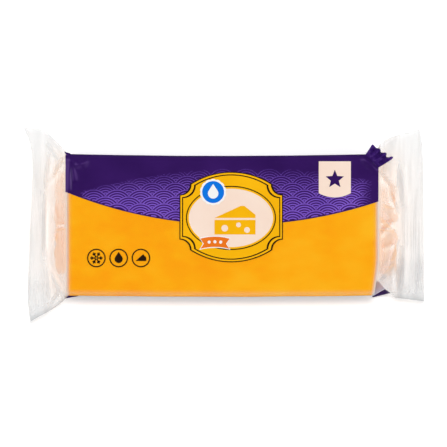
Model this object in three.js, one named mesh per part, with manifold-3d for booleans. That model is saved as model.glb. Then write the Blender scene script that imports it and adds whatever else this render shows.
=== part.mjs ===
// A bar of cheddar in a sealed sleeve of clear printed film, lying on its back with its front up.
// Millimetres, +Z up. The origin is the middle of the flat back that the pack rests on. +X runs
// along the bar, and +Y points to the long side that the printed band follows.
// The film lies tight on the bar and shuts air in only at the two ends, so the closed pack is one
// solid with the outer form of the film.
import * as THREE from "three";
import { mergeVertices } from "three/addons/utils/BufferGeometryUtils.js";
import Module from "manifold-3d";

// The bar with the film drawn tight over it
const BAR_LENGTH = 140;
const BAR_DEPTH = 24;
const EDGE_RADIUS = 3.2; // of the long edges
const TUCK = 2.2; // how far the right end draws in at its -Y corner
const TUCK_START = -14; // the y where it starts to draw in
const TUCK_POWER = 1.5;

// The long sides at +Y and -Y. corner: distance from the middle at the bar's corners. bow: what
// that gains half way along.
const SIDES = {
  high: { way: 1, corner: 32.5, bow: -0.8 },
  low: { way: -1, corner: 31.6, bow: 0.5 },
};

// The ends of the sleeve, where the film slopes from the bar to a flat crimped seal at half depth
const SEAL_THICKNESS = 0.8;
const SEAL_HEIGHT = BAR_DEPTH / 2;
const SEAL_DROOP = 1.4; // how far the seal's cut edge hangs below its root
const SEAL_WAVE = 0.9; // height of the slow waves across the seal
const SEAL_WAVE_LENGTH = 58;
const CRIMP_RIDGES = 5;
const CRIMP_HEIGHT = 0.32;
const FOLD_RADIUS = 0.6; // of the film's folds where they run into the seal
const FLICK_WIDTH = 44; // where a flick of the cut edge is measured, near the seal's corner
const FLICK_POWER = 6; // how close to the corner a flick keeps
const SHOULDER_POWER = 1.4; // how late the film leaves the level of the bar's faces
const RUN_OUT_POWER = 2; // how gently it runs out into the seal

// slope: length from the bar to the seal. spread: how far the film stands out past the bar's sides
// at the seal's root. flare: what the spread gains from there to the cut edge. swing: below 1, the
// side folds swing out faster at first. reach: from the bar's end to the cut edge, at y = 0. lean:
// what reach gains for each millimetre of y. flick: what reach gains at the seal's corners.
const LEFT_END = {
  side: -1,
  slope: 10.5,
  spread: { high: 11.2, low: 8.4 },
  flare: { high: 1, low: 3.4 },
  swing: { high: 0.85, low: 0.7 },
  reach: 16.8,
  lean: -0.045,
  flick: { high: 5, low: -2.4 },
  wavePhase: 0.6,
};
const RIGHT_END = {
  side: 1,
  slope: 12,
  spread: { high: 9.6, low: 1.5 },
  flare: { high: 1.9, low: 1.2 },
  swing: { high: 0.32, low: 0.8 },
  reach: 20.9,
  lean: -0.005,
  flick: { high: -1.8, low: 0 },
  wavePhase: 2.4,
};

// The ear: a fan of gathered film at the corner of the right end
const EAR_BASE = new THREE.Vector3(66.6, 28.2, BAR_DEPTH - 0.9);
const EAR_DIRECTION = new THREE.Vector3(0.755, 0.655, 0).normalize();
const EAR_BASE_WIDTH = 9;
const EAR_TIP_WIDTH = 12.4;
const EAR_REACH = 7;
const EAR_REACH_LEAN = 0.2; // what the reach gains from the fan's middle to its -Y side
const EAR_POINT = 0.6; // how far the pleats' ridges stand out past their valleys
const EAR_PLEATS = 2.25;
const EAR_PLEAT_HEIGHT = 1.1;
const EAR_ARCH = 1.4; // rise of the fan between its base and its tip
const EAR_THICKNESS = 1.6;

// Steps of the faceting
const BAR_STEPS = 14;
const SLOPE_STEPS = 9;
const SEAL_STEPS = 4 * CRIMP_RIDGES;
const CORNER_STEPS = 5;
const SPAN_STEPS = 10;
const EAR_STEPS = { out: 6, across: 27 };
const MERGE_TOLERANCE = 1e-4;

const CHEDDAR = { color: 0xf9a51a, roughness: 0.35, metalness: 0 };

const wasm = await Module();
wasm.setup();

const lerp = THREE.MathUtils.lerp;

// X at a given y and a distance out from one of the bar's ends. t: 0 on the bar, 1 on the seal,
// which keeps straight where the bar draws in.
function endX(end, y, distance, t) {
  const share = Math.max(TUCK_START - y, 0) / (TUCK_START + SIDES.low.corner);
  const tuck = end.side > 0 ? TUCK * share ** TUCK_POWER * (1 - t) : 0;
  return end.side * (BAR_LENGTH / 2 + distance) - tuck;
}

// Distance from the bar's end to the seal's cut edge at a given y.
function cutEdge(end, y) {
  const flick = y > 0 ? end.flick.high : end.flick.low;
  return end.reach + end.lean * y + flick * (Math.abs(y) / FLICK_WIDTH) ** FLICK_POWER;
}

// The film falls from the bar's face in a soft shoulder and runs out level at the seal.
function slopeFall(t) {
  return (1 - t ** SHOULDER_POWER) ** RUN_OUT_POWER;
}

// How far the film's fold stands out past one of the bar's sides.
function sideSpread(end, side, t, out) {
  return end.spread[side] * t ** end.swing[side] + end.flare[side] * out;
}

// A point on the way from one point to another, at most half the way.
function toward(from, to, distance) {
  const share = Math.min(distance / from.distanceTo(to), 0.5);
  return from.clone().lerp(to, share);
}

// Distance of one of the bar's long sides from the middle, at a share of its length.
function sideDistance(side, along) {
  return SIDES[side].corner + SIDES[side].bow * 4 * along * (1 - along);
}

// One half of a section, upper or lower, in the (y, z) plane from the -Y fold to the +Y fold.
// along: share of the bar's length. t: 0 on the bar, 1 on the seal. out: 1 at the cut edge.
// face: z of the panel.
function halfSection(end, along, t, out, face) {
  const radius = lerp(EDGE_RADIUS, FOLD_RADIUS, t);
  const [lowSide, highSide] = ["low", "high"].map((side) => {
    const { way } = SIDES[side];
    const width = sideDistance(side, along);
    const reach = width + sideSpread(end, side, t, out);
    const fold = new THREE.Vector2(way * reach, SEAL_HEIGHT);
    const edge = new THREE.Vector2(way * width, face);
    const shoulder = new THREE.Vector2(way * (reach - SEAL_THICKNESS / 2), face);
    const between = fold.clone().lerp(edge, 0.5).lerp(shoulder, t);
    const corner = new THREE.QuadraticBezierCurve(
      toward(edge, between, radius),
      edge,
      toward(edge, new THREE.Vector2(0, face), radius),
    ).getPoints(CORNER_STEPS);
    return [fold, between, ...corner];
  });
  const panel = [];
  for (let i = 1; i < SPAN_STEPS; i++) {
    panel.push(lowSide.at(-1).clone().lerp(highSide.at(-1), i / SPAN_STEPS));
  }
  return [...lowSide, ...panel, ...highSide.reverse()];
}

// A section as two rows of points placed by a function of (y, z), both from the -Y fold to the +Y
// fold.
function section(end, along, t, out, place) {
  const fall = slopeFall(t);
  const half = lerp(SEAL_THICKNESS, BAR_DEPTH, fall) / 2;
  const row = (face) => halfSection(end, along, t, out, face).map((p) => place(p.x, p.y));
  return { upper: row(SEAL_HEIGHT + half), lower: row(SEAL_HEIGHT - half) };
}

// The sections of one end, from the bar out.
function endSections(end) {
  const sections = [];
  const along = (1 + end.side) / 2;
  for (let i = 1; i <= SLOPE_STEPS + SEAL_STEPS; i++) {
    const t = Math.min(i / SLOPE_STEPS, 1);
    const out = Math.max(i - SLOPE_STEPS, 0) / SEAL_STEPS;
    const crimp = CRIMP_HEIGHT * Math.sin(2 * Math.PI * CRIMP_RIDGES * out);
    const place = (y, z) => {
      const distance = lerp(t * end.slope, cutEdge(end, y), out);
      const wave = SEAL_WAVE * Math.sin((2 * Math.PI * y) / SEAL_WAVE_LENGTH + end.wavePhase);
      const lift = t * t * wave + crimp - SEAL_DROOP * out;
      return new THREE.Vector3(endX(end, y, distance, t), y, z + lift);
    };
    sections.push(section(end, along, t, out, place));
  }
  return sections;
}

// The sections of the bar, from its left end to its right one.
function barSections() {
  const sections = [];
  for (let i = 0; i <= BAR_STEPS; i++) {
    const along = i / BAR_STEPS;
    const place = (y, z) => {
      const [left, right] = [LEFT_END, RIGHT_END].map((end) => endX(end, y, 0, 0));
      return new THREE.Vector3(lerp(left, right, along), y, z);
    };
    sections.push(section(RIGHT_END, along, 0, 0, place));
  }
  return sections;
}

// Triangles of a grid of points, grid[i][j], facing the side from which i to j turns left.
function gridTriangles(grid) {
  const triangles = [];
  for (let i = 0; i + 1 < grid.length; i++) {
    for (let j = 0; j + 1 < grid[i].length; j++) {
      const [a, b, c, d] = [grid[i][j], grid[i + 1][j], grid[i + 1][j + 1], grid[i][j + 1]];
      triangles.push([a, b, c], [a, c, d]);
    }
  }
  return triangles;
}

const flipped = (triangles) => triangles.map(([a, b, c]) => [a, c, b]);

// A closed solid between two grids of the same size, one above the other.
function solidBetween(upper, lower) {
  const column = (grid, j) => grid.map((row) => row.at(j));
  const triangles = [
    ...gridTriangles(upper),
    ...flipped(gridTriangles(lower)),
    ...gridTriangles([lower.at(0), upper.at(0)]),
    ...flipped(gridTriangles([lower.at(-1), upper.at(-1)])),
    ...flipped(gridTriangles([column(lower, 0), column(upper, 0)])),
    ...gridTriangles([column(lower, -1), column(upper, -1)]),
  ];
  const geometry = new THREE.BufferGeometry().setFromPoints(triangles.flat());
  const merged = mergeVertices(geometry, MERGE_TOLERANCE);
  const corners = [...merged.index.array];
  const kept = [];
  for (let i = 0; i < corners.length; i += 3) {
    const [a, b, c] = corners.slice(i, i + 3);
    if (a !== b && b !== c && c !== a) kept.push(a, b, c);
  }
  return new wasm.Manifold(
    new wasm.Mesh({
      numProp: 3,
      vertProperties: merged.attributes.position.array,
      triVerts: new Uint32Array(kept),
    }),
  );
}

function sleeve() {
  const rows = [...endSections(LEFT_END).reverse(), ...barSections(), ...endSections(RIGHT_END)];
  return solidBetween(
    rows.map((row) => row.upper),
    rows.map((row) => row.lower),
  );
}

// The ear's pleats fan out from the bar's corner, and their ridges end in points.
function ear() {
  const sideways = new THREE.Vector3(EAR_DIRECTION.y, -EAR_DIRECTION.x, 0);
  const grid = (offset) => {
    const rows = [];
    for (let i = 0; i <= EAR_STEPS.out; i++) {
      const out = i / EAR_STEPS.out;
      const row = [];
      for (let j = 0; j <= EAR_STEPS.across; j++) {
        const across = (2 * j) / EAR_STEPS.across - 1;
        const pleat = Math.cos(Math.PI * EAR_PLEATS * across);
        const reach = out * (EAR_REACH + EAR_REACH_LEAN * across + EAR_POINT * pleat);
        const width = lerp(EAR_BASE_WIDTH, EAR_TIP_WIDTH, out) / 2;
        const point = EAR_BASE.clone()
          .addScaledVector(EAR_DIRECTION, reach)
          .addScaledVector(sideways, across * width);
        point.z += EAR_ARCH * Math.sin(Math.PI * out) + EAR_PLEAT_HEIGHT * out * pleat + offset;
        row.push(point);
      }
      rows.push(row);
    }
    return rows;
  };
  return solidBetween(
    grid(EAR_THICKNESS / 2).map((row) => row.reverse()),
    grid(-EAR_THICKNESS / 2).map((row) => row.reverse()),
  );
}

// A three.js mesh of a solid.
function meshOf(solid, name, look) {
  const { numProp, vertProperties, triVerts } = solid.getMesh();
  const geometry = new THREE.BufferGeometry();
  geometry.setAttribute("position", new THREE.BufferAttribute(vertProperties, numProp));
  geometry.setIndex(new THREE.BufferAttribute(triVerts, 1));
  geometry.computeVertexNormals();
  const mesh = new THREE.Mesh(geometry, new THREE.MeshStandardMaterial(look));
  mesh.name = name;
  return mesh;
}

const pack = new THREE.Group();
pack.add(meshOf(sleeve().add(ear()), "cheese_pack", CHEDDAR));

export default pack;
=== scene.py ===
import math
from collections import namedtuple

import bmesh
import bpy
import numpy as np
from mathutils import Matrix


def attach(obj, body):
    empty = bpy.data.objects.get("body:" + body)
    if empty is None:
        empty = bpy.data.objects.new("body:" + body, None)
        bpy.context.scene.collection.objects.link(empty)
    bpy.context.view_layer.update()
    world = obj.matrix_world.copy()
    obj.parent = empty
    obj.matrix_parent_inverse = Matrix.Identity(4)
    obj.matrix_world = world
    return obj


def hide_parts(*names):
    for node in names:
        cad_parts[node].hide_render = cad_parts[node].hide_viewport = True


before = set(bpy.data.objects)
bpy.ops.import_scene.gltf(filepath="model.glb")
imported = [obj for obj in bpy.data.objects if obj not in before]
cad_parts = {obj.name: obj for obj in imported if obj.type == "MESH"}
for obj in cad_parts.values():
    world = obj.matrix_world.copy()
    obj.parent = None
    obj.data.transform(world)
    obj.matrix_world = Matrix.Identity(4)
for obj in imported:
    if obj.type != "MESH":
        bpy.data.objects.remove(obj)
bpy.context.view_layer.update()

MM = 0.001

Point = namedtuple("Point", "x y")
Sides = namedtuple("Sides", "high low")  # values for the +Y side and the -Y side

# The bar, as wide and deep as with the film drawn tight over it
BAR_LENGTH = 140
BAR_DEPTH = 24
BAR_SIDE = Sides(32.5, 31.6)  # how far its long sides stand from the middle, at the corners
BAR_BOW = Sides(-0.8, 0.5)  # what that gains half way along
EDGE_RADIUS = 3.2  # of the long edges
TUCK = 2.2  # how far the right end draws in at its -Y corner
TUCK_START = -14  # the y where it starts to draw in
TUCK_POWER = 1.5
SWELL_HEIGHT = 0.05  # of the slow unevenness of the faces
SWELL_LENGTH = 24

# How deep each layer lies under the outer skin of the pack
CHEESE_DEPTH = 0.28
FILM_DEPTH = 0.2
BAND_DEPTH = 0.16
ENGRAVING_DEPTH = 0.13
LABEL_DEPTH = 0.1
MOTIF_DEPTH = 0.07
BADGE_DEPTH = 0.04
BADGE_MOTIF_DEPTH = 0.01

# A crease of the film: a ridge from start to stop, with its width and height
Crease = namedtuple("Crease", "start stop width height")

# The ends of the sleeve, where the film slopes from the bar to a flat crimped seal at half depth
SEAL_THICKNESS = 0.8
SEAL_HEIGHT = BAR_DEPTH / 2
SEAL_DROOP = 1.4  # how far the seal's cut edge hangs below its root
SEAL_WAVE = 0.9  # height of the slow waves across the seal
SEAL_WAVE_LENGTH = 58
CRIMP_RIDGES = 7
CRIMP_UNEVEN = 1.5  # how much their pitch varies
CRIMP_MIDDLE = -7  # the y where the ridges are highest
CRIMP_WIDTH = 10
FOLD_RADIUS = 0.6
FLICK_WIDTH = 44
FLICK_POWER = 6
SHOULDER_POWER = 1.4
RUN_OUT_POWER = 2

# slope: length from the bar to the seal. spread: how far the film stands out past the bar's sides
# at the seal's root. flare: what the spread gains from there to the cut edge. swing: below 1, the
# side folds swing out faster at first. reach: from the bar's end to the cut edge, at y = 0. lean:
# what reach gains for each millimetre of y. flick: what reach gains at the seal's corners. crimp:
# height of the seal's ridges. haze: how dull the film is. glow: how far out, and between which y,
# orange light from the cheese is painted on the film. grey: the y below which painted shade greys
# it. clear: the y below which it is clear next to the bar. creases: at points (distance out from the
# bar, y).
End = namedtuple(
    "End",
    "side slope spread flare swing reach lean flick wave_phase crimp "
    "haze glow_out glow_y grey clear creases",
)
LEFT_END = End(
    side=-1,
    slope=10.5,
    spread=Sides(11.2, 8.4),
    flare=Sides(1, 3.4),
    swing=Sides(0.85, 0.7),
    reach=16.8,
    lean=-0.045,
    flick=Sides(5, -2.4),
    wave_phase=0.6,
    crimp=0.05,
    haze=0.26,
    glow_out=5.4,
    glow_y=Sides(26, -20),
    grey=-24,
    clear=-60,
    creases=(
        Crease((0.2, -0.9), (4.7, -0.9), 0.45, 0.3),
        Crease((4.7, -2.7), (6.1, -9), 0.5, 0.3),
        Crease((0.7, -31.4), (8.3, -18.8), 0.9, 0.5),
        Crease((7.4, -33.2), (9.2, -16.2), 0.8, 0.4),
        Crease((2.9, 29.6), (9.2, 38.6), 0.8, 0.15),
        Crease((9.2, -16), (10.1, 11.7), 0.7, 0.2),
    ),
)
RIGHT_END = End(
    side=1,
    slope=12,
    spread=Sides(9.6, 1.5),
    flare=Sides(1.9, 1.2),
    swing=Sides(0.32, 0.8),
    reach=20.9,
    lean=-0.005,
    flick=Sides(-1.8, 0),
    wave_phase=2.4,
    crimp=0.12,
    haze=0.24,
    glow_out=8.4,
    glow_y=Sides(19, -21),
    grey=-15,
    clear=-25,
    creases=(
        Crease((0.9, 4.9), (8.1, -2.7), 0.9, 0.5),
        Crease((2.3, 10.3), (7.7, 8.1), 0.8, 0.5),
        Crease((5.4, -16.2), (9, -5.4), 0.7, 0.4),
        Crease((0.2, -24.7), (6.8, -16.2), 0.9, 0.5),
        Crease((8.1, 17.5), (9, 29.6), 0.8, 0.4),
        Crease((0.2, -1.3), (7.2, -1.8), 0.4, 0.2),
        Crease((11.7, 27), (12.2, 8.5), 1.2, 0.3),
    ),
)

# Creases of the printed film at the two upper corners of the front, at points (x, y)
FRONT_CREASES = (
    Crease((-68.7, 31.9), (-68.9, 15.2), 0.6, 0.6),
    Crease((-69.8, 32.3), (-61.8, 25.6), 1.5, 1.1),
    Crease((-68.2, 31.2), (-66, 19.7), 0.7, 0.6),
    Crease((-66.2, 26.3), (-60.5, 29.8), 0.8, 0.7),
    Crease((62.2, 32.2), (69.8, 23.8), 1.1, 1),
    Crease((66.8, 31.6), (69.8, 27.9), 0.7, 0.6),
)

# The printed band hangs from the +Y side, and its lower edge on the front is a shallow arc
BAND_ARC_RADIUS = 202
BAND_ARC_X = 5.6
BAND_ARC_LOW = 0.45
BAND_WRAP = 2.4  # how far the print climbs the -Y side from the back
BAND_TURN = 0.5  # how far the print runs out onto the film's slope at the left end
BAND_BACK_GAP = 1.6  # how far the print on the back stops short of that

# The engraving: rows of overlapping fans of fine arcs
FAN_PITCH = 10.5
FAN_RADIUS = 6.6
FAN_RINGS = 6
FAN_ROWS = 9
FAN_COLUMNS = range(-6, 8)
FAN_ROW_STEP = 3.1
FAN_FIRST_ROW = -6
FAN_POINTS = 40
FAN_LEFT = -66
FAN_RIGHT = 67
FAN_FADE = 9  # length of the faint part at each end
FAN_TOP = 26  # of the engraving, at its highest
FAN_TOP_X = 12
FAN_TOP_FALL = 1 / 545  # of the top edge, for each square millimetre away from there
LINE_WIDTH = 0.55
LINE_WIDTH_FAR = 0.05

LABEL = Point(3.9, 4.0)
LABEL_HALF_WIDTH = 23.2
LABEL_HALF_HEIGHT = 20.3
LABEL_SCOOP = 4.7
LABEL_SHOULDER = 0.73  # where the scooped corners end, as a share of the half height
LABEL_LINES = (0, 0.45, 1.15, 1.65)  # insets of the two dark outlines
OVAL = Point(3.8, 3.6)
OVAL_HALF_WIDTH = 18.9
OVAL_HALF_HEIGHT = 13.1
OVAL_RING = 0.8
OVAL_RING_WIDTH = 0.5
WEDGE = Point(5.6, 2.4)
ROSETTE = Point(-4.2, 15.2)
ROSETTE_RADIUS = 5.6
ROSETTE_SCALLOPS = 14
RIBBON = Point(-3.4, -8)
RIBBON_HALF_WIDTH = 6.6
RIBBON_HALF_HEIGHT = 2.3
RIBBON_BOW = 0.9
TAG = Point(50.4, 20.9)
TAG_HALF_WIDTH = 7.2
TAG_HALF_HEIGHT = 8.1
TAG_FOOT = 1.9  # how far the tag's foot bows down
PICTOGRAMS = Point(-56.6, -14.4)  # the first of three in a row
PICTOGRAM_PITCH = 10
PICTOGRAM_RADIUS = 3.9
PICTOGRAM_LINE = 0.55
SHEET_STEP = 2.5

# The ear: gathered film at the corner of the right end, open at its tip
EAR_BASE = np.array([66.7, 28.8, BAR_DEPTH - 0.9])
EAR_DIRECTION = np.array([0.743, 0.669, 0])
EAR_BASE_WIDTH = 8.2
EAR_TIP_WIDTH = 10.8
EAR_REACH = 6.8
EAR_REACH_LEAN = 1.1  # what the reach gains from the fan's middle to its -Y side
EAR_POINT = 1  # how far the pleats' ridges stand out at the -Y side
EAR_PLEATS = 3.3
EAR_CREST = 0.28  # place of a ridge between the fan's middle and its -Y side
EAR_PLEAT_HEIGHT = 0.9
EAR_ARCH = 1.4
EAR_MOUTH = Sides(1.6, 0.6)  # height of the lip and depth of the wall below it, at the tip
EAR_LIP = 0.4  # how much shorter the lip is than the wall
EAR_CRUMPLE = 0.5
EAR_CRUMPLE_LENGTH = 2.3
EAR_THICKNESS = 0.14

# Small folded corners of printed film, each between four corners in order round it
FLAP_THICKNESS = 0.16
FLAP_CURL = 0.3
TUCK_FLAP = ((67.6, -32.2, 1.5), (73.4, -28.5, 8.2), (76.1, -30.3, 8.6), (68.4, -32.4, 1.6))
TUCK_REVERSE = ((67.8, -32, 1.8), (68.9, -25.1, 5.5), (70.6, -24.9, 6.5), (73.4, -28.3, 8.3))
LEFT_FLAP = ((-71.2, -32.9, 2.5), (-69.9, -31.3, 2.8), (-65.2, -31.5, 2.2), (-65.6, -31.9, 2))
TIP_FLAP = ((-71, 33.4, 22.4), (-69.9, 31.4, 23.2), (-68.2, 32, 23.4), (-68.5, 32.7, 22.7))

# The camera looks straight down on the front. The image is square.
IMAGE_PIXELS = 447
PIXEL = 0.4487  # millimetres of the front to a pixel
VIEW_CENTRE = Point(0.45, 1.1)
CAMERA_HEIGHT = 2000  # above the front
SENSOR = 36


# Small geometry


def lerp(a, b, t):
    return a + (b - a) * t


def smooth_step(low, high, value):
    t = np.clip((value - low) / (high - low), 0, 1)
    return t * t * (3 - 2 * t)


def span(start, stop, steps):
    """Points from start towards stop, which is left out."""
    return np.linspace(start, stop, steps, endpoint=False)


def crowded(steps):
    """Shares from 0 to 1, closer together near both."""
    return 0.5 - 0.5 * np.cos(np.linspace(0, math.pi, steps + 1))


def bend(start, corner, stop, steps):
    """A quadratic curve round a corner, both ends included."""
    t = np.linspace(0, 1, steps)[:, None]
    return (1 - t) ** 2 * start + 2 * t * (1 - t) * corner + t**2 * stop


def toward(start, stop, distance):
    """A point on the way from start to stop, at most half the way."""
    share = min(distance / np.linalg.norm(stop - start), 0.5)
    return lerp(start, stop, share)


def rounded_path(corners, radius, span_steps, corner_steps):
    """A path through corners in (y, z), each inner corner rounded."""
    corners = np.asarray(corners, float)
    parts = []
    begin = corners[0]
    for before, corner, after, steps in zip(corners, corners[1:], corners[2:], span_steps):
        start = toward(corner, before, radius)
        stop = toward(corner, after, radius)
        parts += [span(begin, start, steps), bend(start, corner, stop, corner_steps)[:-1]]
        begin = stop
    parts.append(np.linspace(begin, corners[-1], span_steps[-1]))
    return np.vstack(parts)


def path_normals(path):
    """Unit normals on the left of a path in (y, z)."""
    tangent = np.gradient(path, axis=0)
    normal = np.stack([-tangent[:, 1], tangent[:, 0]], axis=1)
    return normal / np.linalg.norm(normal, axis=1, keepdims=True)


def random_waves(points, wavelength, count, seed):
    """A smooth field of about unit height at points, as a sum of seeded plane waves."""
    draw = np.random.default_rng(seed)
    size = points.shape[-1]
    directions = draw.normal(size=(count, size))
    directions /= np.linalg.norm(directions, axis=1, keepdims=True)
    numbers = 2 * np.pi / (wavelength * draw.uniform(0.7, 1.6, count))
    phases = draw.uniform(0, 2 * np.pi, count)
    return np.sin(points @ (directions * numbers[:, None]).T + phases).sum(-1) / math.sqrt(count)


def crease_field(creases, u, v):
    """Height of creases at points (u, v), and their flanks: 1 where a flank faces +v, -1 where it
    faces -v."""
    height = np.zeros_like(u)
    flank = np.zeros_like(u)
    for crease in creases:
        du, dv = u - crease.start[0], v - crease.start[1]
        run = np.subtract(crease.stop, crease.start)
        length = np.linalg.norm(run)
        cos, sin = run / length
        share = np.clip((du * cos + dv * sin) / length, 0, 1)
        side = (dv * cos - du * sin) / crease.width
        bell = np.sqrt(np.abs(np.sin(np.pi * share))) * np.exp(-(side**2) / 2)
        height += crease.height * bell
        flank += math.copysign(math.exp(0.5), cos) * side * bell
    return height, np.clip(flank, -1, 1)


# The form of the pack


def side_distance(along):
    """How far the bar's long sides stand from the middle, at a share of its length."""
    arch = 4 * along * (1 - along)
    return Sides(*(side + bow * arch for side, bow in zip(BAR_SIDE, BAR_BOW)))


def end_x(end, y, distance=0.0, t=0.0):
    """X at a distance out from one of the bar's ends. t: 0 on the bar, 1 on the seal."""
    share = np.maximum(TUCK_START - y, 0) / (TUCK_START + BAR_SIDE.low)
    tuck = TUCK * share**TUCK_POWER * (1 - t) if end.side > 0 else np.zeros_like(share)
    return end.side * (BAR_LENGTH / 2 + distance) - tuck


def bar_x(along, y):
    """X at a share of the bar's length, between its two end faces."""
    return lerp(end_x(LEFT_END, y), end_x(RIGHT_END, y), along)


def half_thickness(t):
    """Half the thickness of the sleeve. t: 0 on the bar, 1 on the seal."""
    fall = (1 - t**SHOULDER_POWER) ** RUN_OUT_POWER
    return lerp(SEAL_THICKNESS, BAR_DEPTH, fall) / 2


def cut_edge(end, y):
    """Distance from the bar's end to the seal's cut edge."""
    flick = np.where(y > 0, end.flick.high, end.flick.low)
    return end.reach + end.lean * y + flick * (np.abs(y) / FLICK_WIDTH) ** FLICK_POWER


def swell(points):
    """Height of the slow unevenness of the bar's faces."""
    return SWELL_HEIGHT * random_waves(points, SWELL_LENGTH, 18, 3)


def settle(points, normals):
    """Moves points of the film along their normals, as it lies creased on the uneven cheese."""
    creased = crease_field(FRONT_CREASES, points[..., 0], points[..., 1])[0]
    lift = np.clip(normals[..., 2], 0, 1) * creased
    return points + normals * (swell(points) + lift)[..., None]


def on_front(outline, depth):
    """Points (x, y) of the print laid on the front at a depth under the skin."""
    outline = np.asarray(outline, float)
    flat = np.concatenate([outline, np.full((*outline.shape[:-1], 1), float(BAR_DEPTH))], axis=-1)
    normals = np.broadcast_to([0.0, 0.0, 1.0], flat.shape)
    return settle(flat, normals) - [0, 0, depth]


# Meshes


def grid_faces(rows, columns, wrap=False, wrap_rows=False):
    """Quads of a grid of points, row by row. wrap joins the last column to the first, and wrap_rows
    the last row to the first."""
    i, j = np.meshgrid(
        np.arange(rows if wrap_rows else rows - 1),
        np.arange(columns if wrap else columns - 1),
        indexing="ij",
    )
    i, j, down, right = i * columns, j, (i + 1) % rows * columns, (j + 1) % columns
    return np.stack([i + j, i + right, down + right, down + j], -1).reshape(-1, 4)


def add_piece(name, points, faces, looks, face_looks=None, fields=None, closed=False):
    """A mesh that rides on the pack. looks: materials. face_looks: a material index for each face.
    fields: named values for each point, read by the materials."""
    mesh = bpy.data.meshes.new(name)
    corners = np.asarray(points).reshape(-1, 3) * MM
    mesh.from_pydata(corners.tolist(), [], [[int(k) for k in face] for face in faces])
    for look in looks:
        mesh.materials.append(look)
    if face_looks is not None:
        mesh.polygons.foreach_set("material_index", np.asarray(face_looks, np.int32))
    for field, values in (fields or {}).items():
        attribute = mesh.attributes.new(field, "FLOAT", "POINT")
        attribute.data.foreach_set("value", np.asarray(values, np.float32).ravel())
    mesh.shade_smooth()
    if closed:
        form = bmesh.new()
        form.from_mesh(mesh)
        bmesh.ops.recalc_face_normals(form, faces=form.faces)
        form.to_mesh(mesh)
        form.free()
    piece = bpy.data.objects.new(name, mesh)
    bpy.context.scene.collection.objects.link(piece)
    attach(piece, "root")
    return piece


def add_sheet(name, rings, depth, looks, ring_looks=None):
    """Print on the front between closed outlines, each inside the one before, down to the middle of
    the last. ring_looks: a material index for the print inside each outline."""
    rings = [np.asarray(ring, float) for ring in rings]
    rings.append(lerp(rings[-1], rings[-1].mean(axis=0), 0.999))
    ring_looks = ring_looks or [0] * len(rings)
    fine = []
    owners = []
    for outer, inner, owner in zip(rings, rings[1:], ring_looks):
        gap = np.linalg.norm(outer - inner, axis=1).max()
        steps = max(1, round(gap / SHEET_STEP))
        fine += [lerp(outer, inner, s / steps) for s in range(steps)]
        owners += [owner] * steps
    fine.append(rings[-1])
    count = len(rings[0])
    faces = grid_faces(len(fine), count, wrap=True)
    return add_piece(name, on_front(np.stack(fine), depth), faces, looks, np.repeat(owners, count))


def add_strokes(name, paths, width, depth, look):
    """Print on the front: lines of one width along paths of points (x, y)."""
    points, faces = [], []
    first = 0
    for path in paths:
        path = np.asarray(path, float)
        side = path_normals(path) * width / 2
        points.append(np.vstack([path - side, path + side]))
        faces.append(grid_faces(2, len(path)) + first)
        first += 2 * len(path)
    add_piece(name, on_front(np.vstack(points), depth), np.vstack(faces), [look])


def solid_between(upper, lower):
    """Points and faces of a closed solid between two grids of the same size."""
    rows, columns = upper.shape[:2]
    count = rows * columns
    sheet = grid_faces(rows, columns)
    rim = [
        *range(columns),
        *range(2 * columns - 1, count, columns),
        *range(count - 2, count - columns - 1, -1),
        *range(count - 2 * columns, 0, -columns),
    ]
    strip = [[a, b, b + count, a + count] for a, b in zip(rim, rim[1:] + rim[:1])]
    faces = sheet.tolist() + (sheet[:, ::-1] + count).tolist() + strip
    return np.concatenate([upper.reshape(-1, 3), lower.reshape(-1, 3)]), faces


# Materials


class Look:
    """A node material with one principled shader, whose plain values are set on its sockets."""

    def __init__(self, name, **values):
        self.material = bpy.data.materials.new(name)
        self.material.use_nodes = True
        self.nodes = self.material.node_tree.nodes
        self.links = self.material.node_tree.links
        self.shader = self.nodes["Principled BSDF"]
        for socket, value in values.items():
            self.shader.inputs[socket.replace("_", " ")].default_value = value
        self.where = self.nodes.new("ShaderNodeTexCoord").outputs["Object"]

    def node(self, kind, **values):
        node = self.nodes.new(kind)
        for socket, value in values.items():
            self.plug(value, node.inputs[socket.replace("_", " ")])
        return node

    def plug(self, value, socket):
        if isinstance(value, bpy.types.NodeSocket):
            self.links.new(value, socket)
        else:
            socket.default_value = value

    def noise(self, size, detail=3.0, stretch=(1, 1, 1)):
        """Noise with patches of about size millimetres, drawn out by stretch along each axis."""
        scale = [1 / (size * MM * s) for s in stretch]
        mapping = self.node("ShaderNodeMapping", Vector=self.where, Scale=scale)
        noise = self.node("ShaderNodeTexNoise", Vector=mapping.outputs[0], Scale=1.0, Detail=detail)
        return noise.outputs["Fac"]

    def field(self, name):
        node = self.nodes.new("ShaderNodeAttribute")
        node.attribute_name = name
        return node.outputs["Fac"]

    def ramp(self, value, stops):
        """Colours or levels along a value: stops are (place, colour)."""
        node = self.node("ShaderNodeValToRGB", Fac=value)
        elements = node.color_ramp.elements
        while len(elements) < len(stops):
            elements.new(1)
        for element, (place, colour) in zip(elements, stops):
            element.position = place
            element.color = colour
        return node.outputs["Color"]

    def mix(self, share, first, second):
        node = self.nodes.new("ShaderNodeMix")
        node.data_type = "RGBA"
        for index, value in zip((0, 6, 7), (share, first, second)):
            self.plug(value, node.inputs[index])
        return node.outputs[2]

    def math(self, operation, *values):
        node = self.nodes.new("ShaderNodeMath")
        node.operation = operation
        for socket, value in zip(node.inputs, values):
            self.plug(value, socket)
        return node.outputs[0]

    def bump(self, value, height):
        node = self.node("ShaderNodeBump", Height=value, Distance=height * MM, Strength=1.0)
        self.plug(node.outputs[0], self.shader.inputs["Normal"])

    def set(self, socket, value):
        self.plug(value, self.shader.inputs[socket])


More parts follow.
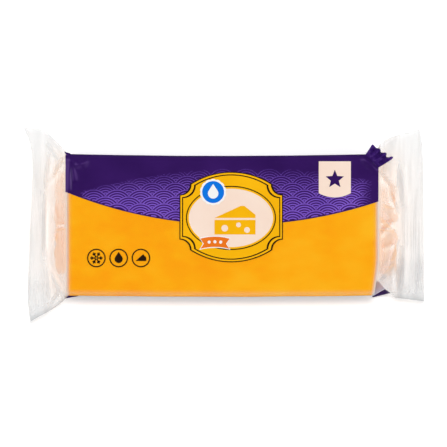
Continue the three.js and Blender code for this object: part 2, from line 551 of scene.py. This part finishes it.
def srgb(red, green, blue):
    """A colour as seen on screen, 0 to 255, in the linear values that shaders take."""
    levels = np.array([red, green, blue]) / 255
    linear = np.where(levels <= 0.04045, levels / 12.92, ((levels + 0.055) / 1.055) ** 2.4)
    return (*(float(v) for v in linear), 1.0)


CHEESE_DEEP = srgb(253, 158, 0)
CHEESE_MAIN = srgb(254, 170, 4)
CHEESE_PALE = srgb(255, 183, 22)
VIOLET_SHEEN = srgb(206, 156, 255)
FILM_WHITE = srgb(230, 232, 232)
# Colours of painted shade and of painted orange light from the cheese on the film
FILM_PAINTED_SHADE = srgb(182, 183, 187)
FILM_PAINTED_GLOW = srgb(255, 200, 146)


def cheese_look():
    look = Look(
        "cheddar",
        Roughness=0.42,
        Specular_IOR_Level=0.2,
        Subsurface_Weight=0.1,
        Subsurface_Scale=0.003,
        Subsurface_Radius=(1.0, 0.45, 0.1),
    )
    broad = look.noise(38, 2.0)
    curds = look.noise(7, 4.0, (1.6, 1, 1))
    tone = look.math("MULTIPLY_ADD", broad, 0.6, look.math("MULTIPLY", curds, 0.4))
    tones = [(0.36, CHEESE_DEEP), (0.5, CHEESE_MAIN), (0.66, CHEESE_PALE)]
    look.set("Base Color", look.ramp(tone, tones))
    look.bump(look.noise(2.2, 5.0), 0.08)
    return look.material


def film_look():
    """Clear film: hazy where it is creased or doubled, with painted orange light from the cheese close
    to the bar and painted grey shade.
    """
    look = Look("clear_film", Roughness=0.2, IOR=1.45)
    # glow paints orange light from the cheese, shade paints grey shade
    tint = look.mix(look.field("glow"), FILM_WHITE, FILM_PAINTED_GLOW)
    look.set("Base Color", look.mix(look.field("shade"), tint, FILM_PAINTED_SHADE))
    streaks = look.noise(1.6, 3.0, (1, 12, 4))
    veil = look.math("MULTIPLY_ADD", streaks, 0.5, 0.75)
    look.set("Alpha", look.math("MULTIPLY", look.field("haze"), veil))
    look.bump(look.noise(3.0, 3.0, (1, 5, 2)), 0.1)
    return look.material


def ink_look(name, colour, deeper, roughness=0.28, wrinkle=0.05, shine=0.4, sheen=(1, 1, 1, 1)):
    """Glossy print: its tone drifts a little, and fine wrinkles in the film catch the light. shine
    and sheen: strength and colour of that light."""
    look = Look(name, Roughness=roughness, Specular_IOR_Level=shine, Specular_Tint=sheen)
    drift = look.noise(16, 3.0)
    look.set("Base Color", look.ramp(drift, [(0.3, deeper), (0.7, colour)]))
    look.bump(look.noise(5, 3.0, (2.5, 1, 1)), wrinkle)
    return look.material


cheddar = cheese_look()
clear_film = film_look()
violet = ink_look("violet_ink", srgb(56, 25, 98), srgb(47, 19, 86), shine=1.0, sheen=VIOLET_SHEEN)
# A lighter copy of the violet ink for the ear: painted highlight on its gathered pleats
violet_lit = ink_look(
    "violet_ink_lit", srgb(80, 42, 138), srgb(46, 16, 92), 0.3, 0.12, 1.0, VIOLET_SHEEN
)
violet_back = ink_look("violet_ink_reverse", srgb(208, 212, 242), srgb(192, 194, 228), 0.4)
violet_line = ink_look("light_violet_ink", srgb(138, 98, 212), srgb(116, 78, 190))
gold = ink_look("gold_ink", srgb(253, 188, 14), srgb(247, 180, 8))
dark = ink_look("dark_ink", srgb(44, 28, 14), srgb(30, 18, 12))
pale = ink_look("pale_ink", srgb(252, 230, 214), srgb(249, 223, 205))
blue = ink_look("blue_ink", srgb(14, 124, 232), srgb(10, 112, 220))
orange = ink_look("orange_ink", srgb(242, 128, 40), srgb(236, 116, 28))
white = ink_look("white_ink", srgb(252, 250, 248), srgb(246, 244, 242))


# The cheese

CHEESE_END_RADIUS = 1.2
CHEESE_END_GAP = 0.1  # between its end faces and the bar's ends
CHEESE_STEPS = (28, 10, 56, 10, 29)  # along the straight runs of a section, from the front's middle


def cheese_loop(along, shrink):
    """The cheese's section as (y, z), and its normals, from the middle of the front round +Y."""
    inset = CHEESE_DEPTH + shrink
    wide, narrow = (distance - inset for distance in side_distance(along))
    low, high = inset, BAR_DEPTH - inset
    corners = [(0, high), (wide, high), (wide, low), (-narrow, low), (-narrow, high), (0, high)]
    path = rounded_path(corners, EDGE_RADIUS - CHEESE_DEPTH, CHEESE_STEPS, 9)[:-1]
    return path, path_normals(path)


def make_cheese():
    turn = np.linspace(0, math.pi / 2, 7)
    inset = (1 - np.cos(turn)) * CHEESE_END_RADIUS / BAR_LENGTH
    shrink = (1 - np.sin(turn)) * CHEESE_END_RADIUS
    gap = CHEESE_END_GAP / BAR_LENGTH
    middle = np.linspace(inset[-1] + gap, 1 - inset[-1] - gap, 90)[1:-1]
    alongs = np.concatenate([gap + inset, middle, (1 - gap - inset)[::-1]])
    shrinks = np.concatenate([shrink, np.zeros(len(middle)), shrink[::-1]])
    rows = []
    for along, less in zip(alongs, shrinks):
        path, normal = cheese_loop(along, less)
        points = np.column_stack([bar_x(along, path[:, 0]), path])
        normals = np.column_stack([np.zeros(len(path)), normal])
        rows.append(points + normals * swell(points)[:, None])
    caps = []
    for row in (rows[0], rows[-1]):
        centre = row.mean(axis=0)
        caps.append([lerp(row, centre, share) for share in np.linspace(0, 0.96, 9)[1:]])
    rows = caps[0][::-1] + rows + caps[1]
    count = len(rows[0])
    faces = grid_faces(len(rows), count, wrap=True).tolist()
    faces += [list(range(count))[::-1], list(range((len(rows) - 1) * count, len(rows) * count))]
    piece = add_piece("cheese", np.stack(rows), faces, [cheddar], closed=True)
    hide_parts("cheese_pack")


# The clear film

SLOPE_STEPS = 34
SEAL_STEPS = 56
BAR_STEPS = 44
PANEL_STEPS = 130
SIDE_STEPS = 5
BAR_HAZE = 0.003
EDGE_HIGHLIGHT_HAZE = 0.6  # a painted highlight on the bar, next to its ends
EDGE_HAZE_WIDTH = 1.7
FOOT_HIGHLIGHT_HAZE = 0.9  # where the film leaves the bar's ends: near opaque, a painted highlight over the shaded gap
FOOT_HAZE_WIDTH = 1.5
LOW_HAZE = 0.12  # a painted highlight on the rounded edge at -Y
FOLD_HAZE = 0.6  # along the side fold at -Y
FOLD_HAZE_WIDTH = 1.1
CLEAR_FALL = 0.9  # of the clear part's upper edge, for each millimetre out from the bar
PAINTED_GLOW_HAZE = 0.25  # where orange light from the cheese is painted on the film
SHADE_HAZE = 0.2  # where painted shade greys it
CREASE_HAZE = 0.12  # painted shade on the shaded flank of a crease
LIT_CLEARING = 0.7  # share of the haze that goes on the lit flank of a crease, a painted highlight
CLEAR_SHARE = 0.95  # share of the haze that goes where the film is clear
PAINTED_GLOW_LOW, PAINTED_GLOW_HIGH = 0.4, 0.7  # the painted orange light from the cheese, at the top and further down
# More painted orange light from the cheese on shaded flanks of creases, and where the film leaves the
# bar's ends
CREASE_PAINTED_GLOW = 0.6
FOOT_PAINTED_GLOW = 0.6
# Strengths of the painted shade: in streaks, low down, on shaded flanks of creases, on crimp ridges
STRIP_SHADE = 0.25
GREY_SHADE = 0.35
CREASE_SHADE = 0.6
CRIMP_SHADE = 3


def film_section(end, along, t, out, sign):
    """One half of the film's section as (y, z), from the -Y fold to the +Y fold. along: share of the
    bar's length. t: 0 on the bar, 1 on the seal. out: 1 at the cut edge. sign: 1 for the upper half
    and -1 for the lower one."""
    face = SEAL_HEIGHT + sign * (half_thickness(t) - FILM_DEPTH)
    radius = lerp(EDGE_RADIUS, FOLD_RADIUS, t)
    halves = []
    sides = zip((1, -1), side_distance(along), end.spread, end.swing, end.flare)
    for way, distance, spread, swing, flare in sides:
        width = distance - FILM_DEPTH
        reach = width + spread * t**swing + flare * out
        fold = np.array([way * reach, SEAL_HEIGHT])
        edge = np.array([way * width, face])
        shoulder = np.array([way * (reach - SEAL_THICKNESS / 2), face])
        between = lerp(lerp(fold, edge, 0.5), shoulder, t)
        start = toward(edge, between, radius)
        stop = toward(edge, np.array([0, face]), radius)
        side = [span(fold, between, SIDE_STEPS), span(between, start, SIDE_STEPS)]
        halves.append(np.vstack([*side, bend(start, edge, stop, 8)]))
    high, low = halves
    panel = span(low[-1], high[-1], PANEL_STEPS)[1:]
    return np.vstack([low, panel, high[::-1]])


def crimp_ridges(end, y, out):
    """Height of the seal's ridges, which fade towards the side folds."""
    fade = np.exp(-(((y - CRIMP_MIDDLE) / CRIMP_WIDTH) ** 2))
    turn = 2 * math.pi * out
    return end.crimp * fade * math.sin(CRIMP_RIDGES * turn + CRIMP_UNEVEN * math.sin(2 * turn))


def film_fields(end, t, out, distance, y, flank):
    """Haze, glow and shade of one row of an end's film, as columns. glow is painted orange light from
    the cheese, shade is painted shade, and the haze also paints highlight and shade.
    """
    # Lit flanks of creases get a painted highlight, shaded flanks painted shade
    lit, shaded = np.clip(flank, 0, 1), np.clip(-flank, 0, 1)
    place = np.column_stack([distance, 0.12 * y])
    strips = np.clip(random_waves(place, 4, 12, 9), 0, 1)
    # Orange light from the cheese, painted near the bar between the glow y, stronger lower down
    ragged = 0.5 * random_waves(np.column_stack([distance, y]), 9, 8, 5)
    near = smooth_step(end.glow_out + 0.5, end.glow_out - 0.5, distance + ragged)
    inside = smooth_step(end.glow_y.high + 2, end.glow_y.high - 3, y + 2 * ragged)
    inside = inside * smooth_step(end.glow_y.low - 3, end.glow_y.low + 3, y + 2 * ragged)
    deep = smooth_step(end.glow_y.high, 0.5 * end.glow_y.low, y)
    clear = smooth_step(1.5, -0.5, y + CLEAR_FALL * distance - end.clear)
    foot = max(1 - t * end.slope / FOOT_HAZE_WIDTH, 0)
    level = lerp(PAINTED_GLOW_LOW, PAINTED_GLOW_HIGH, deep) - lit + CREASE_PAINTED_GLOW * shaded
    glow = np.maximum(near * inside * np.clip(level, 0, 1), FOOT_PAINTED_GLOW * foot) * (1 - clear)
    # Painted shade: in streaks, low down, on shaded flanks of creases and on the crimp ridges
    crimped = crimp_ridges(end, y, out)
    grey = smooth_step(end.grey + 4, end.grey - 4, y)
    shade = STRIP_SHADE * strips + GREY_SHADE * grey + CREASE_SHADE * shaded
    shade = (shade + CRIMP_SHADE * np.clip(crimped, 0, 1)) * math.sqrt(end.crimp / RIGHT_END.crimp)
    shade = np.clip(shade * (1 - lit) * (1 - 0.6 * glow), 0, 1)
    # The haze is cleared on lit flanks as a painted highlight, and raised under the painted glow and
    # shade
    haze = lerp(BAR_HAZE, end.haze, min(4 * t, 1)) * (1 - LIT_CLEARING * lit)
    haze = haze + PAINTED_GLOW_HAZE * glow + SHADE_HAZE * shade + CREASE_HAZE * shaded
    haze = haze + FOLD_HAZE * t * np.exp((y[0] - y) / FOLD_HAZE_WIDTH)
    haze = lerp(haze, FOOT_HIGHLIGHT_HAZE, foot) * (1 - CLEAR_SHARE * clear)
    return np.column_stack([haze, glow, shade])


def film_end(end, sign):
    """One sheet of an end from the bar out: points and fields, each a grid."""
    points, fields = [], []
    along = (1 + end.side) / 2
    for i in range(1, SLOPE_STEPS + SEAL_STEPS + 1):
        t = min(i / SLOPE_STEPS, 1)
        out = max(i - SLOPE_STEPS, 0) / SEAL_STEPS
        y, z = film_section(end, along, t, out, sign).T
        distance = lerp(t * end.slope, cut_edge(end, y), out)
        wave = SEAL_WAVE * np.sin(2 * np.pi * y / SEAL_WAVE_LENGTH + end.wave_phase)
        height, flank = crease_field(end.creases, distance, sign * y)
        calm = math.sqrt(math.sin(math.pi * t)) if t < 1 else 0
        lift = t * t * wave + crimp_ridges(end, y, out) - SEAL_DROOP * out + sign * calm * height
        points.append(np.column_stack([end_x(end, y, distance, t), y, z + lift]))
        fields.append(film_fields(end, t, out, distance, y, flank))
    return np.stack(points), np.stack(fields)


def film_on_bar(sign):
    """One sheet of the film on the bar, from the left end to the right one: points and fields."""
    points, fields = [], []
    for along in crowded(BAR_STEPS):
        path = film_section(RIGHT_END, along, 0, 0, sign)
        normals = np.column_stack([np.zeros(len(path)), sign * path_normals(path)])
        points.append(settle(np.column_stack([bar_x(along, path[:, 0]), path]), normals))
        inward = BAR_LENGTH * min(along, 1 - along)
        inside = path[:, 0] + side_distance(along).low
        # The haze paints highlights: a pale strip on the rounded edge at -Y, a pale line next to the
        # bar's ends
        low = LOW_HAZE * smooth_step(EDGE_RADIUS, 0.5 * EDGE_RADIUS, inside)
        low = low * smooth_step(0.1 * EDGE_RADIUS, 0.4 * EDGE_RADIUS, inside)
        haze = BAR_HAZE + EDGE_HIGHLIGHT_HAZE * max(1 - inward / EDGE_HAZE_WIDTH, 0) + low
        fields.append(np.column_stack([haze, np.zeros((len(path), 2))]))
    return np.stack(points), np.stack(fields)


def make_film():
    sheets = []
    for sign in (1, -1):
        left, bar, right = film_end(LEFT_END, sign), film_on_bar(sign), film_end(RIGHT_END, sign)
        rows = [np.concatenate([a[::-1], b, c]) for a, b, c in zip(left, bar, right)]
        sheets.append(np.concatenate(rows, axis=2))
    upper, lower = sheets
    whole = np.concatenate([upper, lower[:, -2:0:-1]], axis=1)
    rows, columns = whole.shape[:2]
    faces = grid_faces(rows, columns, wrap=True).tolist()
    for row in (0, rows - 1):
        for j in range(upper.shape[1] - 1):
            back = [(columns - k) % columns for k in (j, j + 1)]
            faces.append([row * columns + k for k in dict.fromkeys((j, j + 1, back[1], back[0]))])
    # glow and shade hold the painted orange light from the cheese and the painted shade
    fields = {"haze": whole[..., 3], "glow": whole[..., 4], "shade": whole[..., 5]}
    piece = add_piece(
        "film", whole[..., :3], faces, [clear_film], fields=fields, closed=True
    )
    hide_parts("cheese_pack")


# The print


def band_edge(x):
    """Y of the band's lower edge on the front."""
    return BAND_ARC_LOW + BAND_ARC_RADIUS - np.sqrt(BAND_ARC_RADIUS**2 - (x - BAND_ARC_X) ** 2)


def band_row(along, distance=0.0):
    """Points across the band, from its edge on the front over +Y and the back to the -Y side.
    distance: how far out from the left end of the bar the row lies."""
    t = distance / LEFT_END.slope
    wide, narrow = side_distance(along)
    top, low = SEAL_HEIGHT + half_thickness(t), SEAL_HEIGHT - half_thickness(t)
    start = band_edge(bar_x(along, 0))
    corners = [(start, top), (wide, top), (wide, low), (-narrow, low), (-narrow, EDGE_RADIUS + BAND_WRAP)]
    path = rounded_path(corners, EDGE_RADIUS, (52, 8, 24, 4), 8)
    normals = np.column_stack([np.zeros(len(path)), path_normals(path)])
    y, z = path.T
    x = bar_x(along, y) - distance
    x = x * (1 - 2 * BAND_BACK_GAP / BAR_LENGTH * smooth_step(SEAL_HEIGHT, 0, z))
    return settle(np.column_stack([x, path]), normals) - BAND_DEPTH * normals


def make_band():
    """The violet print, from its edge on the front over the +Y side to the back and up the -Y side."""
    rows = [band_row(0, distance) for distance in span(BAND_TURN, 0, 3)]
    rows += [band_row(along) for along in crowded(180)]
    points = np.stack(rows)
    faces = grid_faces(*points.shape[:2])[:, ::-1]
    add_piece("printed_band", points, faces, [violet])


def fan_centre(row, column):
    return np.array([(column + 0.5 * (row % 2)) * FAN_PITCH, FAN_FIRST_ROW + row * FAN_ROW_STEP])


def hidden_by_fans(points, row):
    """True where a nearer row of fans covers points of a row."""
    covered = np.zeros(len(points), bool)
    for nearer in range(max(row - 3, 0), row):
        shift = 0.5 * (nearer % 2)
        column = np.round(points[:, 0] / FAN_PITCH - shift)
        x = (column + shift) * FAN_PITCH
        y = fan_centre(nearer, 0)[1]
        covered |= np.hypot(points[:, 0] - x, points[:, 1] - y) < FAN_RADIUS + LINE_WIDTH / 4
    return covered


def fan_arc(row, column, ring):
    """One arc of a fan as its inner and outer points, and which of its steps show."""
    angles = np.linspace(0.02, math.pi - 0.02, FAN_POINTS)
    directions = np.column_stack([np.cos(angles), np.sin(angles)])
    line = fan_centre(row, column) + FAN_RADIUS * ring / FAN_RINGS * directions
    x, y = line.T
    top = FAN_TOP - FAN_TOP_FALL * (x - FAN_TOP_X) ** 2
    low = band_edge(x)
    height = (y - low) / (top - low)
    near_ends = smooth_step(FAN_FADE, 0, np.minimum(x - FAN_LEFT, FAN_RIGHT - x))
    faint = np.clip(np.maximum(height**2, near_ends), 0, 1)
    width = lerp(LINE_WIDTH, LINE_WIDTH_FAR, faint)[:, None] / 2
    shown = (y > low + LINE_WIDTH) & (height < 1) & (x > FAN_LEFT) & (x < FAN_RIGHT)
    shown &= ~hidden_by_fans(line, row)
    return np.vstack([line - width * directions, line + width * directions]), shown[:-1] & shown[1:]


def make_engraving():
    """Rows of overlapping fans drawn in fine arcs, which grow faint towards the top."""
    points, faces = [], []
    for row in range(FAN_ROWS):
        for column in FAN_COLUMNS:
            for ring in range(1, FAN_RINGS + 1):
                arc, shown = fan_arc(row, column, ring)
                inner = len(points) * 2 * FAN_POINTS + np.flatnonzero(shown)
                outer = inner + FAN_POINTS
                points.append(arc)
                faces.append(np.column_stack([inner, inner + 1, outer + 1, outer]))
    faces = np.vstack(faces)
    used, places = np.unique(faces, return_inverse=True)
    flat = np.vstack(points)[used]
    add_piece(
        "engraving",
        on_front(flat, ENGRAVING_DEPTH),
        places.reshape(faces.shape)[:, ::-1],
        [violet_line],
    )


def ellipse(centre, half_wide, half_high, count=120):
    angle = span(0, 2 * math.pi, count)
    return np.column_stack([half_wide * np.cos(angle), half_high * np.sin(angle)]) + centre


def closed_line(corners, step=0.6):
    """A closed outline through corners, with points about a step apart."""
    parts = []
    for start, stop in zip(corners, np.roll(corners, -1, axis=0)):
        parts.append(span(start, stop, max(2, round(np.linalg.norm(stop - start) / step))))
    return np.vstack(parts)


def label_outline(inset):
    """The label's outline: straight sides, scooped corners, and an arched top and bottom."""
    wide, high = LABEL_HALF_WIDTH - inset, LABEL_HALF_HEIGHT - inset
    scoop = LABEL_SCOOP + inset * 0.6
    shoulder = LABEL_HALF_HEIGHT * LABEL_SHOULDER - inset * 0.4
    turn = np.linspace(-math.pi / 2, -math.pi, 12)
    corner = np.column_stack([wide + scoop * np.cos(turn), shoulder + scoop * np.sin(turn)])
    left = wide - scoop
    rise = high - shoulder
    radius = (left**2 + rise**2) / (2 * rise)
    x = np.linspace(left, 0, 16)[1:]
    arch = np.column_stack([x, high - radius + np.sqrt(radius**2 - x**2)])
    side = np.column_stack([np.full(6, wide), np.linspace(0, shoulder - scoop, 6)])[:-1]
    quarter = np.vstack([side, corner, arch])
    upper = np.vstack([quarter, (quarter * [-1, 1])[::-1][1:]])
    whole = np.vstack([upper, (upper * [1, -1])[::-1][1:-1]])
    return whole + LABEL


def make_label():
    """The gold plaque with two dark outlines, and a pale oval in a dark ring."""
    outlines = [label_outline(inset) for inset in LABEL_LINES]
    add_sheet("label", outlines, LABEL_DEPTH, [gold, dark], [1, 0, 1, 0])
    grown = [OVAL_RING + OVAL_RING_WIDTH, OVAL_RING, 0]
    rings = [ellipse(OVAL, OVAL_HALF_WIDTH + gap, OVAL_HALF_HEIGHT + gap) for gap in grown]
    add_sheet("label_oval", rings, MOTIF_DEPTH, [pale, dark, gold], [1, 2, 0])


def make_wedge():
    """A wedge of cheese drawn in gold on the label's oval."""
    faces = {
        "wedge_top": [(-9.2, 1.2), (9.2, 1.2), (9.2, 2.6), (4.2, 6.6), (2.6, 6.6)],
        "wedge_side": [(-9.2, -6.2), (9.2, -6.2), (9.2, 0.3), (-9.2, 0.3)],
    }
    for name, corners in faces.items():
        add_sheet(name, [closed_line(np.add(corners, WEDGE))], BADGE_DEPTH, [gold])
    holes = ((-4.6, -3.4, 1.5), (1.6, -1.9, 1.1), (5.4, -4.2, 1.3))
    for number, (x, y, radius) in enumerate(holes, 1):
        hole = ellipse(np.add(WEDGE, (x, y)), radius, radius, 40)
        add_sheet(f"wedge_hole_{number}", [hole], BADGE_MOTIF_DEPTH, [pale])


def drop_outline(centre, radius, count=48):
    """A drop with its point up."""
    angle = span(0, 2 * math.pi, count) - math.pi / 2
    lift = np.clip(np.sin(angle), 0, 1) ** 3
    x = radius * np.cos(angle) * (1 - 0.62 * lift)
    y = radius * (np.sin(angle) + 0.75 * lift - 0.25)
    return np.column_stack([x, y]) + centre


def make_rosette():
    """A blue rosette with a scalloped white rim and a white drop."""
    angle = span(0, 2 * math.pi, 12 * ROSETTE_SCALLOPS)
    scallop = ROSETTE_RADIUS * (1 + 0.06 * np.abs(np.sin(angle * ROSETTE_SCALLOPS / 2)))
    rim = np.column_stack([scallop * np.cos(angle), scallop * np.sin(angle)]) + ROSETTE
    disc = ellipse(ROSETTE, 0.88 * ROSETTE_RADIUS, 0.88 * ROSETTE_RADIUS, len(angle))
    add_sheet("rosette", [rim, disc], BADGE_DEPTH, [blue, white], [1, 0])
    drop = drop_outline(ROSETTE, 0.42 * ROSETTE_RADIUS)
    add_sheet("rosette_drop", [drop], BADGE_MOTIF_DEPTH, [white])


def make_ribbon():
    """An orange ribbon with forked ends, a pale rim and three pale dots."""

    def outline(grow):
        x = np.linspace(-1, 1, 25)
        bow = RIBBON_BOW * (1 - x**2)
        wide, high = RIBBON_HALF_WIDTH + grow, RIBBON_HALF_HEIGHT + grow
        fork = RIBBON_HALF_HEIGHT * 0.7
        low_edge = np.column_stack([x * wide, bow - high])
        top_edge = np.column_stack([-x * wide, bow + high])
        corners = [*low_edge, (wide - fork, 0), *top_edge, (fork - wide, 0)]
        return closed_line(np.add(corners, RIBBON))

    add_sheet("ribbon", [outline(0.4), outline(0)], BADGE_DEPTH, [orange, white], [1, 0])
    for number, x in enumerate((-2.6, 0, 2.6), 1):
        dot = ellipse(np.add(RIBBON, (x, RIBBON_BOW * (1 - (x / RIBBON_HALF_WIDTH) ** 2))), 0.7, 0.7, 32)
        add_sheet(f"ribbon_dot_{number}", [dot], BADGE_MOTIF_DEPTH, [white])


def make_tag():
    """The pale tag with a rounded foot and a plain star."""
    x = np.linspace(TAG_HALF_WIDTH, -TAG_HALF_WIDTH, 15)
    bow = -TAG_HALF_HEIGHT + TAG_FOOT * (x / TAG_HALF_WIDTH) ** 2
    corners = [(-TAG_HALF_WIDTH, TAG_HALF_HEIGHT), (TAG_HALF_WIDTH, TAG_HALF_HEIGHT), *zip(x, bow)]
    add_sheet("tag", [closed_line(np.add(corners, TAG))], LABEL_DEPTH, [pale])
    turn = np.pi / 2 + np.arange(10) * np.pi / 5
    reach = np.where(np.arange(10) % 2, 1.9, 4.3)
    star = closed_line(np.column_stack([reach * np.cos(turn), reach * np.sin(turn)]) + TAG)
    add_sheet("tag_star", [star], MOTIF_DEPTH, [violet])


def ring_path(centre, radius):
    circle = ellipse(centre, radius, radius, 60)
    return np.vstack([circle, circle[:1]])


def snowflake_paths(centre, radius):
    """Six arms, each with a pair of barbs."""
    paths = []
    for turn in np.arange(6) * math.pi / 3:
        along = np.array([math.cos(turn), math.sin(turn)])
        paths.append(np.linspace(0.12 * along, along, 6))
        for way in (-1, 1):
            barb = turn + way * math.pi / 4
            fork = 0.55 * along
            paths.append(np.linspace(fork, fork + 0.35 * np.array([math.cos(barb), math.sin(barb)]), 4))
    return [radius * path + centre for path in paths]


def make_pictograms():
    """Three small dark signs in rings on the clear film: a snowflake, a drop and a wedge."""
    centres = [np.add(PICTOGRAMS, (number * PICTOGRAM_PITCH, 0)) for number in range(3)]
    rings = [ring_path(centre, PICTOGRAM_RADIUS) for centre in centres]
    add_strokes("pictogram_rings", rings, PICTOGRAM_LINE, BAND_DEPTH, dark)
    flake = snowflake_paths(centres[0], 0.72 * PICTOGRAM_RADIUS)
    add_strokes("snowflake", flake, PICTOGRAM_LINE, BAND_DEPTH, dark)
    drop = drop_outline(centres[1], 0.46 * PICTOGRAM_RADIUS)
    add_sheet("drop", [drop], BAND_DEPTH, [dark])
    wedge = np.array([(-2.4, -1.3), (2.4, -1.3), (2.4, 0.2), (1, 1.7)]) + centres[2]
    add_sheet("small_wedge", [closed_line(wedge)], BAND_DEPTH, [dark])


# The corners of printed film


def make_ear():
    """The gathered film at the corner of the right end: a pleated wall that ends in points, and a
    shorter lip above it that leaves its mouth open."""
    direction = EAR_DIRECTION / np.linalg.norm(EAR_DIRECTION)
    sideways = np.array([direction[1], -direction[0], 0])
    out, turn = np.meshgrid(np.linspace(0, 1, 26), span(0, 2 * math.pi, 160), indexing="ij")
    across, up = np.cos(turn), np.sin(turn)
    pleat = np.cos(np.pi * EAR_PLEATS * (across - EAR_CREST))
    reach = EAR_REACH + EAR_REACH_LEAN * across + EAR_POINT * pleat * (1 + across) / 2
    reach = out * reach * (1 - EAR_LIP * np.sqrt(np.clip(up, 0, 1)))
    width = lerp(EAR_BASE_WIDTH, EAR_TIP_WIDTH, out) / 2
    mouth = np.where(up > 0, EAR_MOUTH.high, EAR_MOUTH.low) * lerp(0.25, 1, out)
    shells = []
    for inset in (0, EAR_THICKNESS):
        spread = (width - inset) * across
        points = EAR_BASE + reach[..., None] * direction + spread[..., None] * sideways
        crumple = EAR_CRUMPLE * out * random_waves(points[..., :2], EAR_CRUMPLE_LENGTH, 14, 11)
        height = EAR_ARCH * np.sin(np.pi * out) + EAR_PLEAT_HEIGHT * out * pleat
        points[..., 2] += height + crumple + (mouth - inset) * up
        shells.append(points)
    shell = np.concatenate([shells[0], shells[1][::-1]])
    faces = grid_faces(*shell.shape[:2], wrap=True, wrap_rows=True)
    add_piece("film_ear", shell, faces, [violet_lit], closed=True)


def make_flap(name, corners, look):
    a, b, c, d = np.array(corners, float)
    u, v = np.meshgrid(np.linspace(0, 1, 13), np.linspace(0, 1, 13), indexing="ij")
    middle = lerp(lerp(a, b, u[..., None]), lerp(d, c, u[..., None]), v[..., None])
    middle[..., 2] += FLAP_CURL * np.sin(np.pi * u) * np.sin(np.pi * v)
    points, faces = solid_between(*(middle + [0, 0, side * FLAP_THICKNESS / 2] for side in (1, -1)))
    add_piece(name, points, faces, [look], closed=True)


def make_flaps():
    make_flap("tuck_flap", TUCK_FLAP, violet)
    make_flap("tuck_reverse", TUCK_REVERSE, violet_back)
    make_flap("left_flap", LEFT_FLAP, violet)
    make_flap("tip_flap", TIP_FLAP, violet)


# The stage, in metres

FLOOR_SIZE = 8.0
CLIP_END = 20


def make_floor():
    """A pale table that is lit a little from within."""
    look = Look("floor", Roughness=0.7, Emission_Color=(1, 1, 1, 1), Emission_Strength=0.3)
    tones = [(0, srgb(247, 247, 247)), (1, srgb(250, 250, 250))]
    look.set("Base Color", look.ramp(look.noise(400, 2.0), tones))
    mesh = bpy.data.meshes.new("floor")
    half = FLOOR_SIZE / 2
    corners = [(-half, -half, 0), (half, -half, 0), (half, half, 0), (-half, half, 0)]
    mesh.from_pydata(corners, [], [(0, 1, 2, 3)])
    mesh.materials.append(look.material)
    floor = bpy.data.objects.new("floor", mesh)
    floor.visible_glossy = False
    bpy.context.scene.collection.objects.link(floor)


def add_light(name, place, size, watts, shiny=True):
    """A soft box that faces the pack. shiny: whether it shows in reflections."""
    light = bpy.data.lights.new(name, "AREA")
    light.shape = "RECTANGLE"
    light.size, light.size_y = size
    light.energy = watts
    lamp = bpy.data.objects.new(name, light)
    lamp.location = place
    lamp.rotation_euler = (-lamp.location).to_track_quat("-Z", "Y").to_euler()
    lamp.visible_glossy = shiny
    bpy.context.scene.collection.objects.link(lamp)


def make_lights():
    """A steep key from the +Y side, soft boxes on three sides, and a tent that is dark overhead."""
    add_light("key", place=(0.05, 0.3, 1.9), size=(0.3, 0.3), watts=16.5, shiny=False)
    add_light("left_box", place=(-1.1, 0, 0.65), size=(0.5, 2.2), watts=4)
    add_light("right_box", place=(1.1, 0, 0.65), size=(0.5, 2.2), watts=4)
    add_light("low_box", place=(0, -1.1, 0.65), size=(1.4, 0.5), watts=0.8)
    world = bpy.data.worlds.new("tent")
    bpy.context.scene.world = world
    world.cycles_visibility.glossy = False
    world.use_nodes = True
    nodes, links = world.node_tree.nodes, world.node_tree.links
    split = nodes.new("ShaderNodeSeparateXYZ")
    ramp = nodes.new("ShaderNodeValToRGB")
    links.new(nodes.new("ShaderNodeTexCoord").outputs["Generated"], split.inputs[0])
    links.new(split.outputs["Z"], ramp.inputs[0])
    links.new(ramp.outputs[0], nodes["Background"].inputs["Color"])
    for element, (place, level) in zip(ramp.color_ramp.elements, ((0.4, 0.85), (0.85, 0.03))):
        element.position = place
        element.color = (level, level, level, 1)


def make_camera():
    data = bpy.data.cameras.new("camera")
    data.sensor_width = SENSOR
    data.lens = SENSOR * CAMERA_HEIGHT / (IMAGE_PIXELS * PIXEL)
    data.clip_end = CLIP_END
    camera = bpy.data.objects.new("camera", data)
    camera.location = (VIEW_CENTRE.x * MM, VIEW_CENTRE.y * MM, (BAR_DEPTH + CAMERA_HEIGHT) * MM)
    bpy.context.scene.collection.objects.link(camera)
    bpy.context.scene.camera = camera


make_cheese()
make_film()
make_band()
make_engraving()
make_label()
make_wedge()
make_rosette()
make_ribbon()
make_tag()
make_pictograms()
make_ear()
make_flaps()
make_floor()
make_lights()
make_camera()
bpy.context.scene.view_settings.view_transform = "Standard"
